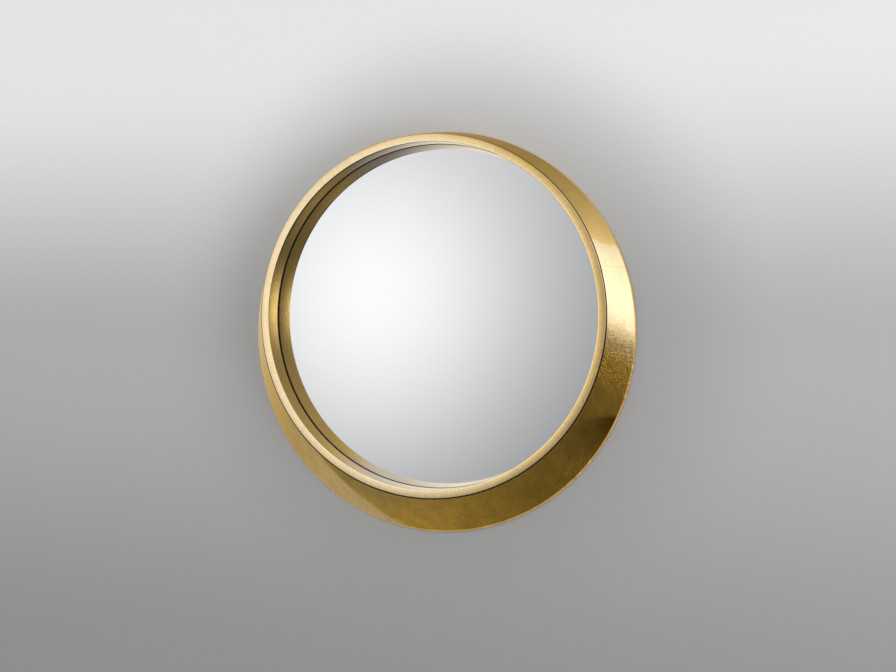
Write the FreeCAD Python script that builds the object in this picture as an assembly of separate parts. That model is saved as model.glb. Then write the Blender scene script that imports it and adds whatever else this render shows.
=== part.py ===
import FreeCAD, Part

import math
import os

from FreeCAD import Vector

# A round convex wall mirror: a gilded frame whose outer flank is an oblique cone, narrow above and
# wide below, round a deep hoop that holds the bowed glass, its packing and a backing board.
#
# Millimetres. +Z is up and +X is right. The mirror faces -Y, and the wall plane is y = 0.
# The origin lies on the wall plane, half way between the two hanging keyholes.
# The pieces are drawn round the mirror's own axis and moved down to their place when they are saved.

# frame outline
frame_depth = 57.0  # wall plane to the front of the lip
hoop_outer_radius = 268.0
hoop_wall = 11.5  # width of the lip
flank_top_width = 8.5  # hoop to base edge on the wall, at the top
flank_bottom_width = 55.5  # hoop to base edge on the wall, at the bottom
base_land = 3.0  # short straight band along the base edge
base_rounding = 2.0  # softened arris between flank and band
rear_rounding = 0.8
lip_inner_rounding = 1.0
lip_outer_rounding = 1.4
quirk_width = 1.8  # fine groove between lip and flank
quirk_depth = 3.2
board_places = ("front", "middle", "rear")  # rings of board stacked and glued to make the flank
segment_sides = ("bottom", "right", "top", "left")  # each ring is laid in four segments, like bricks

# rebate and what it holds
rebate_wall = 5.5  # what the rebate leaves of the hoop
glass_thickness = 4.0
glass_bow = 8.0  # rise of the dome over its rim
glass_side_gap = 2.5  # room round the glass for the setting blocks
spacer_thickness = 2.5
spacer_width = 3.0
spacer_setback = 0.4  # the tape stays behind the hoop's inner wall
packing_width = 12.0
packing_thickness = 7.5  # glass rim to board
packing_rim_gap = 0.5
board_thickness = 6.0
board_side_gap = 1.0
board_depth = 5.0  # wall plane to the board's rear face
block_arc_deg = 5.5
block_width = 3.0
block_angles_deg = (-120.0, -60.0, 60.0, 120.0)

# dowels that key the boards of the flank
dowel_diameter = 6.0
dowel_half_length = 7.0
dowel_counts = (3, 11)  # at the front and the rear joint, spread evenly from the bottom up
dowel_step_deg = 22.5
# end joints of each ring's segments, in dowel steps from the bottom to both sides, between two dowels
segment_joint_steps = ((2.5, 6.5), (1.5, 5.5), (2.5, 6.5))
dowel_glue_gap = 0.05
dowel_end_gap = 1.0

# turn buttons that hold the board in
button_count = 6
button_first_deg = -225.0
button_last_deg = 45.0
button_reach = 24.0  # pivot to tip
button_pivot_end = 5.0  # radius of the pivot end
button_tip_end = 3.6  # radius of the tip
button_thickness = 1.5
button_inset = 4.5  # hoop to the pivot's centre
button_pocket_gap = 0.7
pivot_clearance = 0.08  # running fit of a button on its screw

# screws
button_screw_diameter = 3.5
button_screw_length = 14.0
button_screw_head = 7.2
button_screw_head_height = 2.1
plate_screw_diameter = 3.0
plate_screw_length = 12.0
plate_screw_head = 6.0
screw_hole_gap = 0.04
screw_end_gap = 1.0
screw_point = 3.0

# keyhole plates, let in flush at both sides
hang_height = 38.0  # keyhole entries above the mirror's axis
plate_inset = 9.0  # hoop to a plate's centre line
plate_width = 16.0
plate_height = 38.0
plate_thickness = 1.5
plate_let_in_gap = 0.15
keyhole_entry_diameter = 9.5
keyhole_slot_width = 4.6
keyhole_slot_rise = 9.0
plate_screw_offset = 14.5
plate_centre_rise = 2.0  # plate's centre above the entry hole
head_pocket_width = 11.0
head_pocket_depth = 9.0

# worked out from the sizes above
y_front = -frame_depth
y_land = -base_land
y_board_rear = -board_depth
y_board_front = y_board_rear - board_thickness
y_glass_rim = y_board_front - packing_thickness - glass_thickness
y_shoulder = y_glass_rim - spacer_thickness
base_radius = hoop_outer_radius + (flank_top_width + flank_bottom_width) / 2.0
base_drop = (flank_bottom_width - flank_top_width) / 2.0  # of the base circle's centre
sight_radius = hoop_outer_radius - hoop_wall
rebate_radius = hoop_outer_radius - rebate_wall
glass_radius = rebate_radius - glass_side_gap
bow_radius = (glass_radius**2 + glass_bow**2) / (2.0 * glass_bow)
y_bow_centre = y_glass_rim - glass_bow + bow_radius
pivot_radius = hoop_outer_radius + button_inset
hang_half_spacing = hoop_outer_radius + plate_inset
saw = 2.0  # how far a cutting body runs past what it cuts
match = 0.01  # within this, an edge is the one that is looked for

along_y = Vector(0, 1, 0)


def polar(radius, angle_deg, y=0.0):
    """The point at a radius and an angle round the mirror's axis, counted from +X towards +Z."""
    a = math.radians(angle_deg)
    return Vector(radius * math.cos(a), y, radius * math.sin(a))


def rod(radius, y_start, y_end, x=0.0, z=0.0):
    """A round bar along Y."""
    return Part.makeCylinder(radius, y_end - y_start, Vector(x, y_start, z), along_y)


def turned(points, sweep_deg=360.0):
    """The solid that a closed outline of (radius, y) corners sweeps round the mirror's axis."""
    corners = [Vector(r, y, 0) for r, y in points]
    face = Part.Face(Part.makePolygon(corners + corners[:1]))
    return face.revolve(Vector(0, 0, 0), along_y, sweep_deg)


def circle_edges(shape, y, radius):
    """The round edges of a shape that lie at one depth and have one radius."""
    found = []
    for edge in shape.Edges:
        curve = edge.Curve
        if not isinstance(curve, Part.Circle):
            continue
        if abs(curve.Radius - radius) < match and abs(curve.Center.y - y) < match:
            found.append(edge)
    return found


def flank_circle(y):
    """Radius and centre height of the flank's circle at one depth."""
    share = (y - y_front) / (y_land - y_front)
    radius = hoop_outer_radius + share * (base_radius - hoop_outer_radius)
    return radius, -share * base_drop


def flank_reach(angle_deg, y):
    """How far the flank lies from the mirror's axis at one angle and depth."""
    radius, z_centre = flank_circle(y)
    a = math.radians(angle_deg)
    along = z_centre * math.sin(a)
    return along + math.sqrt(radius**2 - (z_centre * math.cos(a)) ** 2)


def flank_wire(y):
    radius, z_centre = flank_circle(y)
    return Part.Wire(Part.makeCircle(radius, Vector(0, y, z_centre), along_y))


def glass_face_y(radius, behind=0.0):
    """Depth of the bowed glass at one radius, on its front face or so far behind it."""
    bow = bow_radius - behind
    return y_bow_centre - math.sqrt(bow**2 - radius**2)


def button_angles():
    step = (button_last_deg - button_first_deg) / (button_count - 1)
    return [button_first_deg + i * step for i in range(button_count)]


def turns_clockwise(angle_deg):
    """Buttons on the right half open one way and those on the left the other, all of them downwards."""
    return math.cos(math.radians(angle_deg)) < 0


def at_pivot(shape, angle_deg):
    """Carries a shape drawn with its pivot at the origin and its tip towards -X to its place on the ring."""
    placed = shape.copy()
    if turns_clockwise(angle_deg):
        placed = placed.mirror(Vector(0, 0, 0), Vector(0, 0, 1))
    placed.rotate(Vector(0, 0, 0), along_y, -angle_deg)
    placed.translate(polar(pivot_radius, angle_deg))
    return placed


def obround(length, width, y_start, y_end, x=0.0, z=0.0):
    """A bar with round ends whose long side runs along Z."""
    half = (length - width) / 2.0
    depth = y_end - y_start
    body = Part.makeBox(width, depth, 2.0 * half, Vector(x - width / 2.0, y_start, z - half))
    for end in (-half, half):
        body = body.fuse(rod(width / 2.0, y_start, y_end, x, z + end))
    return body.removeSplitter()


def joint_y(index):
    """Depth of the front of board 0, 1 and so on, and last of the back of the rear board."""
    return y_front * (1.0 - index / len(board_places))


def dowel_places(index):
    """Centres of one joint's dowels, each in the middle of the flank's wall where that is thinnest."""
    y_thinnest = joint_y(index) - dowel_half_length - dowel_end_gap
    count = dowel_counts[index - 1]
    places = []
    for i in range(count):
        angle = -90.0 + (i - (count - 1) / 2.0) * dowel_step_deg
        radius = (hoop_outer_radius + flank_reach(angle, y_thinnest)) / 2.0
        places.append(polar(radius, angle))
    return places


def dowels(index, side_gap=0.0, end_gap=0.0):
    """The dowels of one joint, or with gaps the holes that take them."""
    radius = dowel_diameter / 2.0 + side_gap
    half = dowel_half_length + end_gap
    y_joint = joint_y(index)
    return [rod(radius, y_joint - half, y_joint + half, p.x, p.z) for p in dowel_places(index)]


def button_outline(gap, y_start, y_end):
    """A tapered bar from the pivot at the origin to a round tip towards -X."""
    big = button_pivot_end + gap
    small = button_tip_end + gap
    span = button_reach - button_tip_end
    lean = math.asin((big - small) / span)
    corners = []
    for x, radius, side in ((0.0, big, 1), (-span, small, 1), (-span, small, -1), (0.0, big, -1)):
        corners.append(Vector(x - radius * math.sin(lean), y_start, side * radius * math.cos(lean)))
    flat = Part.Face(Part.makePolygon(corners + corners[:1]))
    bar = flat.extrude(Vector(0, y_end - y_start, 0))
    bar = bar.fuse([rod(big, y_start, y_end), rod(small, y_start, y_end, -span)])
    return bar.removeSplitter()


def button_pocket():
    """The room that a turn button sweeps from its closed place to a quarter turn."""
    closed = button_outline(button_pocket_gap, y_board_rear, saw)
    opened = closed.copy()
    opened.rotate(Vector(0, 0, 0), along_y, -90.0)
    reach = button_reach + button_pocket_gap
    sweep = turned([(0.0, y_board_rear), (reach, y_board_rear), (reach, saw), (0.0, saw)], 90.0)
    sweep.rotate(Vector(0, 0, 0), along_y, 90.0)
    return closed.fuse([opened, sweep]).removeSplitter()


def hoop():
    """The deep ring in front: lip, inner wall, and behind the shoulder the rebate."""
    ring = turned(
        [
            (sight_radius, y_front),
            (hoop_outer_radius, y_front),
            (hoop_outer_radius, 0.0),
            (rebate_radius, 0.0),
            (rebate_radius, y_shoulder),
            (sight_radius, y_shoulder),
        ]
    )
    ring = ring.makeFillet(lip_inner_rounding, circle_edges(ring, y_front, sight_radius))
    ring = ring.makeFillet(lip_outer_rounding, circle_edges(ring, y_front, hoop_outer_radius))
    return ring.cut([at_pivot(button_pocket(), a) for a in button_angles()])


def flank_ring(index):
    """One ring of the flank: an oblique cone slice, bored for the hoop and for its dowels."""
    y_start = joint_y(index)
    y_end = joint_y(index + 1)
    is_rear = index == len(board_places) - 1
    board = Part.makeLoft([flank_wire(y_start), flank_wire(min(y_end, y_land))], True, True)
    if is_rear:
        board = board.fuse(rod(base_radius, y_land, 0.0, 0.0, -base_drop))
        board = board.makeFillet(base_rounding, circle_edges(board, y_land, base_radius))
        board = board.makeFillet(rear_rounding, circle_edges(board, 0.0, base_radius))
    cuts = [rod(hoop_outer_radius, y_start - saw, y_end + saw)]
    if index > 0:
        cuts += dowels(index, dowel_glue_gap, dowel_end_gap)
    else:
        cuts.append(quirk())
    if is_rear:
        cuts += rear_cuts()
    else:
        cuts += dowels(index + 1, dowel_glue_gap, dowel_end_gap)
    return board.cut(cuts)


def wedge(start_deg, end_deg):
    """The part of the space round the hoop that lies between two angles."""
    outside = base_radius + base_drop + saw
    sector = turned(
        [
            (sight_radius, y_front - saw),
            (outside, y_front - saw),
            (outside, saw),
            (sight_radius, saw),
        ],
        end_deg - start_deg,
    )
    sector.rotate(Vector(0, 0, 0), along_y, -end_deg)
    return sector


def flank_segments(index):
    """The four segments of one ring, in the order of their names."""
    low, high = (steps * dowel_step_deg for steps in segment_joint_steps[index])
    ends = [-90.0 - low, -90.0 + low, -90.0 + high, 270.0 - high, 270.0 - low]
    ring = flank_ring(index)
    return [ring.common(wedge(start, end)) for start, end in zip(ends, ends[1:])]


def quirk():
    """The V groove that parts the lip from the flank."""
    outside = hoop_outer_radius + quirk_width
    return turned(
        [
            (sight_radius, y_front - saw),
            (outside, y_front - saw),
            (outside, y_front + quirk_width / 2.0),
            (hoop_outer_radius, y_front + quirk_depth),
            (sight_radius, y_front + quirk_depth),
        ]
    )


def rear_cuts():
    """Pockets and screw holes in the back of the rear board."""
    cuts = [at_pivot(button_pocket(), a) for a in button_angles()]
    cuts += [at_pivot(button_screw_hole(), a) for a in button_angles()]
    for side in (-1, 1):
        x = side * hang_half_spacing
        cuts.append(plate_blank(x, plate_let_in_gap, saw))
        rise = keyhole_slot_rise + head_pocket_width
        z = hang_height + keyhole_slot_rise / 2.0
        cuts.append(obround(rise, head_pocket_width, -plate_thickness - head_pocket_depth, saw, x, z))
        for z_screw in plate_screw_heights():
            radius = plate_screw_diameter / 2.0 + screw_hole_gap
            cuts.append(rod(radius, -plate_screw_length - screw_end_gap, saw, x, z_screw))
    return cuts


def button_screw_hole():
    deep = y_board_rear + button_thickness - button_screw_length - screw_end_gap
    return rod(button_screw_diameter / 2.0 + screw_hole_gap, deep, saw)


def plate_screw_heights():
    middle = hang_height + plate_centre_rise
    return [middle - plate_screw_offset, middle + plate_screw_offset]


def plate_blank(x, gap, y_end):
    z = hang_height + plate_centre_rise
    return obround(plate_height + 2.0 * gap, plate_width + 2.0 * gap, -plate_thickness, y_end, x, z)


def keyhole_plate(side):
    """A let-in hanger: round entry, slot above it and two countersunk screw holes."""
    x = side * hang_half_spacing
    plate = plate_blank(x, 0.0, 0.0)
    cuts = [rod(keyhole_entry_diameter / 2.0, -plate_thickness - saw, saw, x, hang_height)]
    slot = obround(
        keyhole_slot_rise + keyhole_slot_width,
        keyhole_slot_width,
        -plate_thickness - saw,
        saw,
        x,
        hang_height + keyhole_slot_rise / 2.0,
    )
    cuts.append(slot)
    for z in plate_screw_heights():
        cuts.append(plate_screw(x, z, screw_hole_gap))
    return plate.cut(cuts)


def plate_screw(x, z, gap=0.0):
    """A countersunk wood screw, its head flush with the wall plane."""
    shank = plate_screw_diameter / 2.0 + gap
    head = plate_screw_head / 2.0 + gap
    taper = (plate_screw_head - plate_screw_diameter) / 2.0
    screw = turned(
        [
            (0.0, -plate_screw_length),
            (shank, -plate_screw_length + screw_point),
            (shank, -taper),
            (head, 0.0),
            (0.0, 0.0),
        ]
    )
    screw.translate(Vector(x, 0, z))
    return screw


def button_screw():
    """A pan head wood screw, drawn at the pivot with its head on the button."""
    shank = button_screw_diameter / 2.0
    head = button_screw_head / 2.0
    y_seat = y_board_rear + button_thickness
    screw = turned(
        [
            (0.0, y_seat - button_screw_length),
            (shank, y_seat - button_screw_length + screw_point),
            (shank, y_seat),
            (head, y_seat),
            (head, y_seat + button_screw_head_height),
            (0.0, y_seat + button_screw_head_height),
        ]
    )
    crown = circle_edges(screw, y_seat + button_screw_head_height, head)
    return screw.makeFillet(button_screw_head_height * 0.7, crown)


def turn_button():
    """A pressed steel latch, drawn with its pivot at the origin and its tip over the board."""
    plate = button_outline(0.0, y_board_rear, y_board_rear + button_thickness)
    hole = rod(button_screw_diameter / 2.0 + pivot_clearance, y_board_rear - saw, saw)
    return plate.cut(hole)


def convex_glass():
    """The bowed disc: two concentric spherical faces and a straight ground edge."""
    apex_front = Vector(0, glass_face_y(0.0), 0)
    apex_rear = Vector(0, glass_face_y(0.0, glass_thickness), 0)
    rim_front = Vector(glass_radius, y_glass_rim, 0)
    rim_rear = Vector(glass_radius, glass_face_y(glass_radius, glass_thickness), 0)
    half = glass_radius / 2.0
    front = Part.Arc(apex_front, Vector(half, glass_face_y(half), 0), rim_front).toShape()
    rear = Part.Arc(rim_rear, Vector(half, glass_face_y(half, glass_thickness), 0), apex_rear).toShape()
    edge = Part.makeLine(rim_front, rim_rear)
    middle = Part.makeLine(apex_rear, apex_front)
    face = Part.Face(Part.Wire([front, edge, rear, middle]))
    return face.revolve(Vector(0, 0, 0), along_y, 360.0)


def spacer():
    """Black tape between the shoulder and the glass, pressed to the glass's slope."""
    inner = sight_radius + spacer_setback
    outer = inner + spacer_width
    return turned(
        [
            (inner, y_shoulder),
            (outer, y_shoulder),
            (outer, glass_face_y(outer)),
            (inner, glass_face_y(inner)),
        ]
    )


def packing():
    """The strip that the board presses against the back of the glass."""
    outer = glass_radius - packing_rim_gap
    inner = outer - packing_width
    return turned(
        [
            (inner, glass_face_y(inner, glass_thickness)),
            (outer, glass_face_y(outer, glass_thickness)),
            (outer, y_board_front),
            (inner, y_board_front),
        ]
    )


def setting_block(angle_deg):
    """A short rubber block between the glass's edge and the rebate."""
    block = turned(
        [
            (glass_radius, y_glass_rim),
            (rebate_radius, y_glass_rim),
            (rebate_radius, y_glass_rim + block_width),
            (glass_radius, y_glass_rim + block_width),
        ],
        block_arc_deg,
    )
    block.rotate(Vector(0, 0, 0), along_y, -angle_deg - block_arc_deg / 2.0)
    return block


def backing_board():
    return rod(rebate_radius - board_side_gap, y_board_front, y_board_rear)


def save(name, solids):
    """Writes one node, moved from the mirror's axis down to its place under the hanging line."""
    shape = solids[0] if len(solids) == 1 else Part.makeCompound(solids)
    placed = shape.copy()
    placed.translate(Vector(0, 0, -hang_height))
    placed.exportStep("parts/" + name + ".step")


def main():
    os.makedirs("parts", exist_ok=True)
    save("hoop", [hoop()])
    for index, place in enumerate(board_places):
        for side, segment in zip(segment_sides, flank_segments(index)):
            save("flank_%s_segment_%s" % (place, side), segment.Solids)
    save("front_dowels", dowels(1))
    save("rear_dowels", dowels(2))
    save("glass_spacer_tape", [spacer()])
    save("convex_glass", [convex_glass()])
    save("setting_blocks", [setting_block(a) for a in block_angles_deg])
    save("packing_ring", [packing()])
    save("backing_board", [backing_board()])
    for number, angle in enumerate(button_angles(), 1):
        save("turn_button_%d" % number, [at_pivot(turn_button(), angle)])
    save("turn_button_screws", [at_pivot(button_screw(), a) for a in button_angles()])
    save("keyhole_plate_left", [keyhole_plate(-1)])
    save("keyhole_plate_right", [keyhole_plate(1)])
    sides = (-hang_half_spacing, hang_half_spacing)
    save("keyhole_plate_screws", [plate_screw(x, z) for x in sides for z in plate_screw_heights()])


main()
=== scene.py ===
import math

import bpy
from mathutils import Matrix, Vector


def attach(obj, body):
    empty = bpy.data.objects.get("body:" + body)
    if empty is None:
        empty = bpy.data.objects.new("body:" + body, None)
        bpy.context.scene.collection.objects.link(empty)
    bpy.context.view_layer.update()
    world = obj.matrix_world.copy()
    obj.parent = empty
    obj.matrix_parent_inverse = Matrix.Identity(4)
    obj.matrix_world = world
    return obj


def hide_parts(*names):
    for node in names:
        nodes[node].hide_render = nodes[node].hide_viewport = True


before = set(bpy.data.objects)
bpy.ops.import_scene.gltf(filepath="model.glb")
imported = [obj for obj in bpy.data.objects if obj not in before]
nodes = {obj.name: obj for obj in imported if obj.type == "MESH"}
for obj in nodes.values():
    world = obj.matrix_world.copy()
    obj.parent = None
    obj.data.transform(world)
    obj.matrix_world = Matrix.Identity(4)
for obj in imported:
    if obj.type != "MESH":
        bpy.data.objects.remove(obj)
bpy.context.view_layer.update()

mm = 0.001
turn = 2 * math.pi

# The mirror's own axis runs along Y at x = 0, below the hanging line that is the origin.
mirror = {
    "axisZ": -38.0 * mm,
    "lipDepth": -57.0 * mm,
    "hoopRadius": 268.0 * mm,
    "sightRadius": 256.5 * mm,
    "baseRadius": 300.0 * mm,
    "baseDrop": 23.5 * mm,
    "landDepth": -3.0 * mm,
    "shoulderDepth": -25.0 * mm,
}
axisPoint = Vector((0, 0, mirror["axisZ"]))
alongDepth = (math.pi / 2, 0, 0)  # stands a primitive's own axis along Y


def deselectAll():
    if bpy.context.mode != "OBJECT":
        bpy.ops.object.mode_set(mode="OBJECT")
    bpy.ops.object.select_all(action="DESELECT")


def makeActive(piece):
    deselectAll()
    piece.select_set(True)
    bpy.context.view_layer.objects.active = piece


def openEdit(piece, mode="VERT"):
    makeActive(piece)
    bpy.ops.object.mode_set(mode="EDIT")
    bpy.ops.mesh.select_mode(type=mode)


def closeEdit():
    bpy.ops.object.mode_set(mode="OBJECT")


def nameNew(name):
    piece = bpy.context.active_object
    piece.name = name
    piece.data.name = name
    return piece


def selectAll():
    bpy.ops.mesh.select_all(action="SELECT")


def pull(x, y, z):
    bpy.ops.mesh.extrude_region_move(TRANSFORM_OT_translate={"value": (x, y, z)})


def flipNormals(piece):
    openEdit(piece)
    selectAll()
    bpy.ops.mesh.flip_normals()
    closeEdit()


def applyModifier(piece, kind, **settings):
    makeActive(piece)
    modifier = piece.modifiers.new(kind.lower(), kind)
    for key, value in settings.items():
        setattr(modifier, key, value)
    bpy.ops.object.modifier_apply(modifier=modifier.name)


def freezePlace(piece):
    makeActive(piece)
    bpy.ops.object.transform_apply(location=True, rotation=True, scale=True)


def pickVerts(piece, wanted):
    # selects the vertices whose place passes the test, from inside edit mode
    bpy.ops.mesh.select_all(action="DESELECT")
    bpy.ops.object.mode_set(mode="OBJECT")
    for v in piece.data.vertices:
        v.select = bool(wanted(v.co))
    bpy.ops.object.mode_set(mode="EDIT")


def cleanMesh(piece, angleDeg=35):
    openEdit(piece)
    selectAll()
    bpy.ops.mesh.remove_doubles(threshold=0.002 * mm)
    bpy.ops.mesh.normals_make_consistent(inside=False)
    closeEdit()
    makeActive(piece)
    bpy.ops.object.shade_smooth_by_angle(angle=math.radians(angleDeg))


def drawLoop(name, corners, close=True):
    # one vertex pulled from corner to corner: (radius, depth) points in a plane through the axis
    first = corners[0]
    bpy.ops.mesh.primitive_plane_add(size=mm, location=(first[0], first[1], mirror["axisZ"]))
    loop = nameNew(name)
    freezePlace(loop)
    openEdit(loop)
    selectAll()
    bpy.ops.mesh.merge(type="CENTER")
    for here, there in zip(corners, corners[1:]):
        pull(there[0] - here[0], there[1] - here[1], 0)
    if close:
        last = corners[-1]
        ends = [Vector((p[0], p[1], mirror["axisZ"])) for p in (first, last)]
        pickVerts(loop, lambda co: min((co - e).length for e in ends) < 0.001 * mm)
        bpy.ops.mesh.edge_face_add()
    closeEdit()
    return loop


def roundCorner(loop, corner, radius, segments=6):
    openEdit(loop)
    place = Vector((corner[0], corner[1], mirror["axisZ"]))
    pickVerts(loop, lambda co: (co - place).length < 0.001 * mm)
    bpy.ops.mesh.bevel(offset=radius, segments=segments, affect="VERTICES", clamp_overlap=False)
    closeEdit()


def spinRound(loop, steps):
    openEdit(loop)
    selectAll()
    bpy.ops.mesh.spin(steps=steps, angle=turn, center=axisPoint, axis=(0, 1, 0))
    closeEdit()
    cleanMesh(loop)


def cutAway(piece, cutter):
    applyModifier(piece, "BOOLEAN", operation="DIFFERENCE", solver="EXACT", object=cutter)
    bpy.data.objects.remove(cutter)


def dress(piece, material):
    piece.data.materials.clear()
    piece.data.materials.append(material)


cameraView = {
    "azimuthDeg": 18.82,
    "distance": 2.253,
    "lookAt": (13.1 * mm, 0, -67.7 * mm),
    "lens": 60.27,
}


def placeCamera():
    azimuth = math.radians(cameraView["azimuthDeg"])
    back = Vector((math.sin(azimuth), -math.cos(azimuth), 0))
    bpy.ops.object.camera_add(location=Vector(cameraView["lookAt"]) + back * cameraView["distance"])
    camera = bpy.context.active_object
    camera.name = "photoCamera"
    camera.rotation_euler = (math.pi / 2, 0, azimuth)
    camera.data.lens = cameraView["lens"]
    camera.data.sensor_width = 36
    camera.data.clip_start = 0.05
    camera.data.clip_end = 60
    bpy.context.scene.camera = camera


deselectAll()
placeCamera()
print("camera placed")


def shaderOf(material):
    return material.node_tree.nodes["Principled BSDF"]


def newMaterial(name, **constants):
    # constants go straight onto the shader's own sockets; "_" in a key stands for a space
    material = bpy.data.materials.new(name)
    material.use_nodes = True
    for key, value in constants.items():
        shaderOf(material).inputs[key.replace("_", " ")].default_value = value
    return material, material.node_tree


def addNode(tree, kind, values=None, **settings):
    node = tree.nodes.new(kind)
    for key, value in settings.items():
        setattr(node, key, value)
    for socket, value in (values or {}).items():
        node.inputs[socket].default_value = value
    return node


def feed(tree, value, socket):
    # a socket is linked, a plain number, colour or vector is set
    if isinstance(value, (int, float, tuple)):
        socket.default_value = value
    else:
        tree.links.new(value, socket)


def mathNode(tree, operation, *values):
    node = addNode(tree, "ShaderNodeMath", operation=operation)
    for value, socket in zip(values, node.inputs):
        feed(tree, value, socket)
    return node.outputs[0]


def plus(tree, a, b):
    return mathNode(tree, "ADD", a, b)


def minus(tree, a, b):
    return mathNode(tree, "SUBTRACT", a, b)


def times(tree, a, b):
    return mathNode(tree, "MULTIPLY", a, b)


def scaled(tree, value, factor, offset):
    return mathNode(tree, "MULTIPLY_ADD", value, factor, offset)


def larger(tree, a, b):
    return mathNode(tree, "MAXIMUM", a, b)


def invert(tree, value):
    return minus(tree, 1.0, value)


def apart(tree, a, b):
    return mathNode(tree, "ABSOLUTE", minus(tree, a, b))


def ofDegrees(tree, operation, angle):
    return mathNode(tree, operation, times(tree, angle, math.radians(1)))


def vectorNode(tree, operation, vector, second=None, output=0):
    node = addNode(tree, "ShaderNodeVectorMath", operation=operation)
    feed(tree, vector, node.inputs[0])
    if second is not None:
        feed(tree, second, node.inputs["Scale" if operation == "SCALE" else 1])
    return node.outputs[output]


def mixColour(tree, factor, a, b):
    node = addNode(tree, "ShaderNodeMix", data_type="RGBA")
    for value, index in ((factor, 0), (a, 6), (b, 7)):
        feed(tree, value, node.inputs[index])
    return node.outputs[2]


def noiseAt(tree, vector, scale, detail=3, roughness=0.5):
    node = addNode(tree, "ShaderNodeTexNoise", {"Scale": scale, "Detail": detail, "Roughness": roughness})
    feed(tree, vector, node.inputs["Vector"])
    return node.outputs["Fac"]


def ramp(tree, factor, low, high):
    # eases a value between two limits into 0..1
    node = addNode(
        tree, "ShaderNodeMapRange", {"From Min": low, "From Max": high}, interpolation_type="SMOOTHSTEP"
    )
    feed(tree, factor, node.inputs["Value"])
    return node.outputs[0]


def below(tree, factor, low, high):
    # the same turned round: 1 below the limits, 0 above them
    return invert(tree, ramp(tree, factor, low, high))


def rgb(r, g, b):
    return (r, g, b, 1.0)


def newGroup(name, inputs, outputs):
    # sockets are given as {"Label": "Kind"}
    group = bpy.data.node_groups.new(name, "ShaderNodeTree")
    for way, sockets in (("INPUT", inputs), ("OUTPUT", outputs)):
        for label, kind in sockets.items():
            group.interface.new_socket(label, in_out=way, socket_type="NodeSocket" + kind)
    return group, addNode(group, "NodeGroupInput").outputs, addNode(group, "NodeGroupOutput").inputs


surface = {"Color": "Color", "Roughness": "Float", "Height": "Float"}  # what a finish's group gives


def useGroup(tree, group, **values):
    # "_" in a key stands for a space
    node = addNode(tree, "ShaderNodeGroup")
    node.node_tree = group
    for key, value in values.items():
        feed(tree, value, node.inputs[key.replace("_", " ")])
    return node.outputs


def objectPlace(tree):
    return addNode(tree, "ShaderNodeTexCoord").outputs["Object"]


def stretch(tree, vector, factors):
    return vectorNode(tree, "MULTIPLY", vector, factors)


def splitVector(tree, vector):
    node = addNode(tree, "ShaderNodeSeparateXYZ")
    feed(tree, vector, node.inputs[0])
    return node.outputs


def joinVector(tree, *parts):
    node = addNode(tree, "ShaderNodeCombineXYZ")
    for part, socket in zip(parts, node.inputs):
        feed(tree, part, socket)
    return node.outputs[0]


def lineThrough(tree, value, width):
    # 1 on the middle of a noise's range, falling to 0 at the width: thin wandering lines
    return below(tree, apart(tree, value, 0.5), 0.0, width)


def finishMaterial(material, colour, roughness, height, metallic=0.0):
    # the height is real, in millimetres
    tree, shader = material.node_tree, shaderOf(material)
    feed(tree, colour, shader.inputs["Base Color"])
    feed(tree, roughness, shader.inputs["Roughness"])
    feed(tree, metallic, shader.inputs["Metallic"])
    bump = addNode(tree, "ShaderNodeBump", {"Strength": 1.0, "Distance": mm})
    feed(tree, height, bump.inputs["Height"])
    feed(tree, bump.outputs["Normal"], shader.inputs["Normal"])
    return material


# How the leaves lie: fourteen round the mirror, butted along straight lines across lip and flank.
leafLay = {
    "count": 14,
    "firstSeamDeg": 15.0,
    "seamHalfWidth": 0.55 * mm,
    "meanRadius": 284.0 * mm,
    "slant": 67.0 * mm,  # width of the flank where it is seen broad
    "straightness": -2.6,
}


def makeRoundMap():
    # place round the mirror's own axis, so that every pattern follows the ring without a jump
    numbers = ("Angle", "Joint Angle", "Share", "Across", "Depth", "Up")
    outputs = {"Round": "Vector"} | dict.fromkeys(numbers, "Float")
    tree, given, out = newGroup("roundMap", {"Place": "Vector", "Drop": "Float"}, outputs)
    place = splitVector(tree, given["Place"])
    depth = place["Y"]
    share = addNode(
        tree, "ShaderNodeMapRange", {"From Min": mirror["lipDepth"], "From Max": mirror["landDepth"]}
    )
    feed(tree, depth, share.inputs["Value"])
    share = share.outputs[0]
    drop = times(tree, share, given["Drop"])
    up = plus(tree, minus(tree, place["Z"], mirror["axisZ"]), drop)
    turns = mathNode(tree, "ARCTAN2", up, place["X"])
    squares = plus(tree, times(tree, up, up), times(tree, place["X"], place["X"]))
    radius = mathNode(tree, "SQRT", squares)
    cosine = mathNode(tree, "COSINE", turns)
    rolled = joinVector(
        tree,
        times(tree, cosine, leafLay["meanRadius"]),
        times(tree, mathNode(tree, "SINE", turns), leafLay["meanRadius"]),
        times(tree, share, leafLay["slant"]),
    )
    # leaves are butted straight across the flank, so a joint leaves the cone's own rays a little
    joint = plus(tree, turns, times(tree, times(tree, drop, cosine), leafLay["straightness"]))
    angle, jointAngle = (times(tree, value, math.degrees(1)) for value in (turns, joint))
    for label, value in zip(outputs, (rolled, angle, jointAngle, share, radius, depth, place["Z"])):
        feed(tree, value, out[label])
    return tree


roundMap = makeRoundMap()


def placeOnRing(tree, drop=mirror["baseDrop"]):
    return useGroup(tree, roundMap, Place=objectPlace(tree), Drop=drop)


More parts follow.
